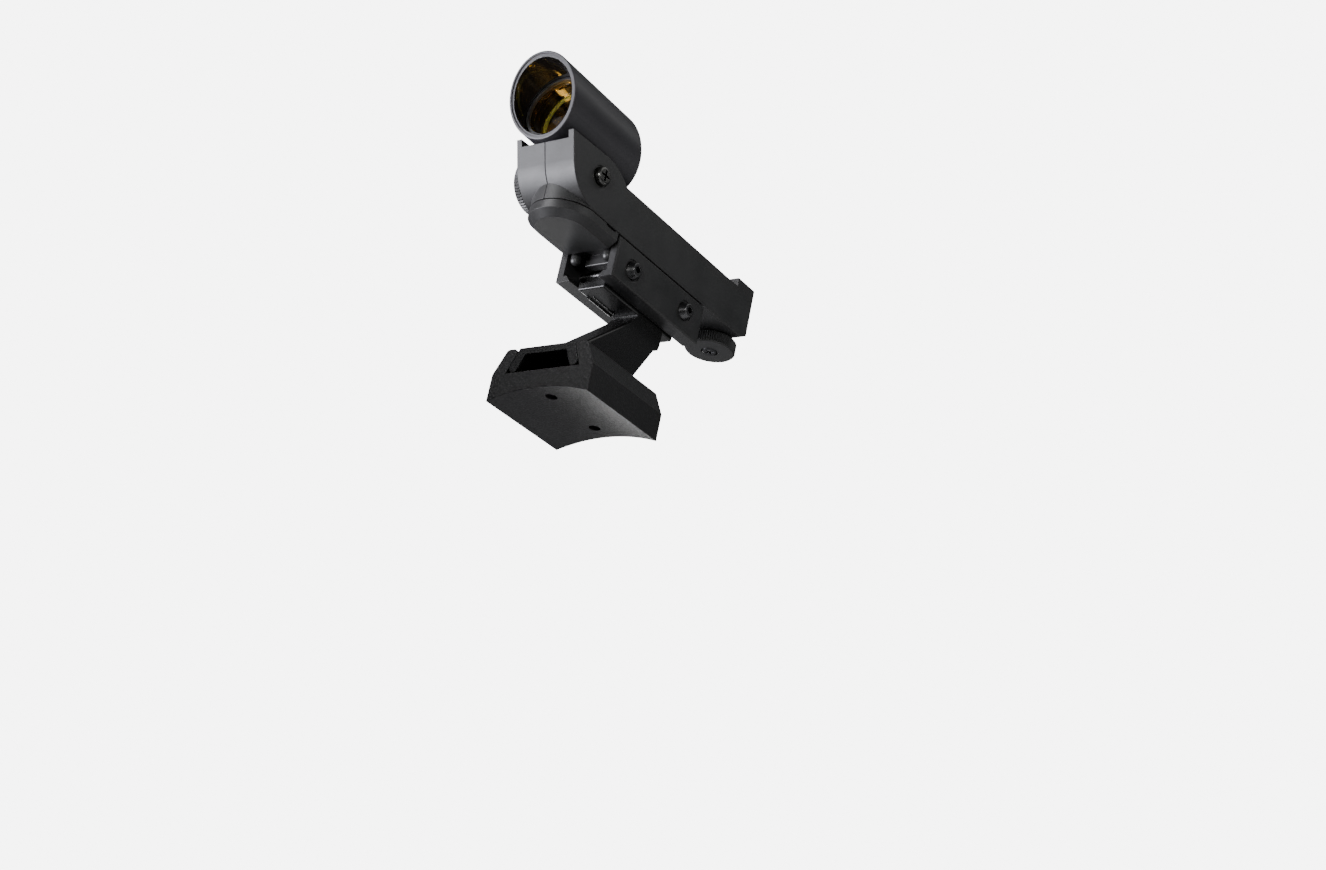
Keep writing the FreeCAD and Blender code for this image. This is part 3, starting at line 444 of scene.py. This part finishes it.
def make_materials():
    housing = moulded_plastic("housing_grain", 0.015, rough=0.47, grain=3200.0, depth=0.16, seam=True)
    cover = moulded_plastic("cover_grain", 0.017, rough=0.40, grain=3000.0, depth=0.10)
    track = moulded_plastic("track_satin", 0.015, rough=0.40, grain=3000.0, depth=0.10)
    bracket = moulded_plastic("bracket_satin", 0.009, rough=0.40, grain=2600.0, depth=0.20)
    knob = moulded_plastic("knob_grain", 0.010, rough=0.46, grain=3000.0, depth=0.15)
    ring = moulded_plastic("ring_matt", 0.012, rough=0.45, grain=4200.0, depth=0.15)
    wheel = moulded_plastic("wheel_grain", 0.013, rough=0.46, grain=3000.0, depth=0.25)
    turned = metal("turned_zinc", ZINC, 0.28, ACROSS)
    rolled = metal("rolled_spring", SPRING_STEEL, 0.30, LENGTHWISE)
    return {
        "viewing_tube": tube_plastic(),
        "lens": coated_glass(),
        "lens_ring": ring,
        "housing_left": housing,
        "housing_right": housing,
        "housing_screws": metal("dark_nickel", DARK_NICKEL, 0.22, even(1500.0),
                                depth=0.05, dirt=0.2, dark=0.5),
        "tube_screws": metal("plated_screws", ZINC, 0.3, UPWARDS),
        "battery_cover": cover,
        "coin_cell": metal("nickel_can", CELL_CAN, 0.22, even(900.0), depth=0.05),
        "battery_contact_top": rolled,
        "battery_contact_side": rolled,
        "circuit_board": circuit_green(),
        "potentiometer": resin("pot_case", POT_BLUE, 0.3),
        "brightness_wheel": wheel,
        "led_emitter": resin("led_resin", LED_RED, 0.08, transmission=0.6),
        "led_wires": resin("wire_sleeve", WIRE_RED, 0.42),
        "swivel_arm": bracket,
        "tilt_pin": turned,
        "swivel_screw": metal("plated_pivot", ZINC, 0.3, UPWARDS),
        "altitude_nut": metal("turned_brass", BRASS, 0.27, UPWARDS),
        "altitude_knob": knob,
        "altitude_screw": metal("oxide_upright", OXIDE, 0.30, UPWARDS,
                                depth=0.15, dirt=0.4, dark=0.4, metallic=0.9),
        "altitude_spring": rolled,
        "azimuth_knob": knob,
        "azimuth_screw": turned,
        "azimuth_clip": rolled,
        "mounting_track": track,
        "track_screws": metal("oxide_buttons", WORN_OXIDE, 0.27, even(1200.0),
                              depth=0.08, dirt=0.3, dark=0.5),
        "track_nuts": turned,
        "adapter_bracket": powder_coat("bracket_coat", 0.006, rough=0.30, scale=1900.0, depth=0.03),
        "dovetail_shoe": powder_coat("shoe_coat", 0.010, rough=0.47, scale=1300.0, depth=0.5,
                                     shine=0.32),
        "shoe_thumbscrew": metal("nickel_thumb", PALE_NICKEL, 0.25, ACROSS),
    }


# ---------------------------------------------------------------- object

def coil_height(turn, rise):
    """Height of the wire's middle after so many turns, with one closed turn at each end."""
    closed = SPRING_CLOSED_PITCH * SPRING_WIRE
    if turn < 1:
        return closed * turn
    if turn > SPRING_TURNS - 1:
        return rise - closed * (SPRING_TURNS - turn)
    return closed + (rise - 2 * closed) * (turn - 1) / (SPRING_TURNS - 2)


def make_spring(look):
    """A coil of round wire in the plain spring's place."""
    low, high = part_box("altitude_spring")
    middle = (low + high) / 2
    reach = (high.x - low.x - SPRING_WIRE) / 2
    rise = high.z - low.z - SPRING_WIRE
    steps = SPRING_TURNS * SPRING_STEPS
    corners = []
    for step in range(steps + 1):
        turn = step / SPRING_STEPS
        angle = 2 * math.pi * turn
        out = Vector((math.cos(angle), math.sin(angle), 0.0))
        height = coil_height(turn, rise)
        centre = Vector((middle.x, middle.y, low.z + SPRING_WIRE / 2 + height)) + out * reach
        for side in range(SPRING_SIDES):
            around = 2 * math.pi * side / SPRING_SIDES
            offset = out * math.cos(around) + Vector((0.0, 0.0, math.sin(around)))
            corners.append(centre + offset * SPRING_WIRE / 2)
    last = len(corners) - SPRING_SIDES
    faces = [tuple(range(SPRING_SIDES)), tuple(reversed(range(last, len(corners))))]
    for step in range(steps):
        for side in range(SPRING_SIDES):
            a = step * SPRING_SIDES + side
            b = step * SPRING_SIDES + (side + 1) % SPRING_SIDES
            faces.append((a, a + SPRING_SIDES, b + SPRING_SIDES, b))
    mesh = new_mesh("altitude_spring_coil", corners, faces, look)
    mesh.shade_smooth()
    coil = new_object("altitude_spring_coil", mesh)
    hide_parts("altitude_spring")
    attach(coil, "finder")
    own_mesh(coil)


def dress_nodes():
    looks = make_materials()
    make_spring(looks["altitude_spring"])
    for name, node in NODES.items():
        node.data.materials.clear()
        node.data.materials.append(looks[name])


# ---------------------------------------------------------------- studio

def make_camera():
    data = bpy.data.cameras.new("camera")
    data.lens = CAMERA_LENS
    data.sensor_width = CAMERA_SENSOR
    data.clip_start = CAMERA_NEAR
    data.clip_end = CAMERA_FAR
    camera = new_object("camera", data)
    azimuth = math.radians(CAMERA_AZIMUTH)
    elevation = math.radians(CAMERA_ELEVATION)
    forward = Vector((
        -math.sin(azimuth) * math.cos(elevation),
        math.cos(azimuth) * math.cos(elevation),
        math.sin(elevation),
    ))
    level = forward.cross(Vector((0, 0, 1))).normalized()
    up = level.cross(forward)
    roll = math.radians(CAMERA_ROLL)
    right = level * math.cos(roll) + up * math.sin(roll)
    above = right.cross(forward)
    turn = Matrix((right, above, -forward)).transposed().to_4x4()
    camera.matrix_world = Matrix.Translation(CAMERA_PLACE) @ turn
    bpy.context.scene.camera = camera


def make_world():
    """Plain white all round for the eye, and a dim even glow for the object."""
    world = bpy.data.worlds.new("studio")
    world.use_nodes = True
    tree = world.node_tree
    glow = tree.nodes["Background"]
    glow.inputs["Color"].default_value = ROOM_TINT
    glow.inputs["Strength"].default_value = ROOM_GLOW
    seen = tree.nodes.new("ShaderNodeBackground")
    seen.inputs["Color"].default_value = BACKDROP_TINT
    seen.inputs["Strength"].default_value = BACKDROP_GLOW
    path = tree.nodes.new("ShaderNodeLightPath")
    mix = tree.nodes.new("ShaderNodeMixShader")
    tree.links.new(path.outputs["Is Camera Ray"], mix.inputs["Fac"])
    tree.links.new(glow.outputs["Background"], mix.inputs[1])
    tree.links.new(seen.outputs["Background"], mix.inputs[2])
    tree.links.new(mix.outputs["Shader"], tree.nodes["World Output"].inputs["Surface"])
    bpy.context.scene.world = world


def mottled_card(name, scale, dark, pale, rough):
    n = Nodes(name)
    return n.surface(base_color=n.mix(n.noise(scale), grey(dark), grey(pale)), roughness=rough)


def make_floor():
    half = FLOOR_SIZE / 2
    corners = [(x, y, FLOOR_Z) for x, y in ((-half, -half), (half, -half), (half, half), (-half, half))]
    look = mottled_card("pale_floor", 4.0, 0.78, 0.82, rough=0.7)
    floor = new_object("floor", new_mesh("floor", corners, [(0, 1, 2, 3)], look))


def make_flag():
    """A dark card out of the camera's sight that keeps the front light off bracket and shoe."""
    across = Vector(FLAG_ALONG) * FLAG_HALF
    middle = Vector(FLAG_PLACE)
    drop = Vector((0.0, 0.0, -FLAG_DROP))
    corners = [middle - across, middle + across, middle + across + drop, middle - across + drop]
    look = mottled_card("flag_cloth", 900.0, 0.01, 0.02, rough=0.9)
    flag = new_object("flag", new_mesh("flag", corners, [(0, 1, 2, 3)], look))
    flag.visible_camera = False


def soft_light(name, direction, distance, size, power, colour=WHITE, aim=None, spread=FULL_SPREAD):
    """A soft light looking at the middle of the object, or at another point."""
    data = bpy.data.lights.new(name, "AREA")
    data.shape = "RECTANGLE"
    data.size, data.size_y = size
    data.energy = power
    data.color = colour
    data.spread = math.radians(spread)
    light = new_object(name, data)
    towards = Vector(direction).normalized()
    light.location = (Vector(aim) if aim else (CAD_BOX[0] + CAD_BOX[1]) / 2) + towards * distance
    light.rotation_mode = "QUATERNION"
    light.rotation_quaternion = towards.to_track_quat("Z", "Y")
    light.visible_camera = False
    return light


def make_lights():
    for settings in SOFT_LIGHTS:
        soft_light(*settings)
    soft_light("floor_soft", (0.0, 0.0, 1.0), 0.0, (2.4, 2.4), 4.0, aim=FLOOR_LAMP)
    soft_light("mouth_soft", (0.42, -0.88, -0.10), 0.5, (0.12, 0.12), 0.030,
               aim=MOUTH, spread=MOUTH_SPREAD)
    glint = soft_light("glint_card", (0.0, -0.54, -0.84), 0.09, (0.038, 0.0036), 0.0018,
                       aim=GLINT, spread=GLINT_SPREAD)
    turn = Quaternion((0.0, 0.0, 1.0), math.radians(GLINT_TURN))
    glint.rotation_quaternion = glint.rotation_quaternion @ turn


make_camera()
make_world()
make_floor()
make_flag()
make_lights()
dress_nodes()
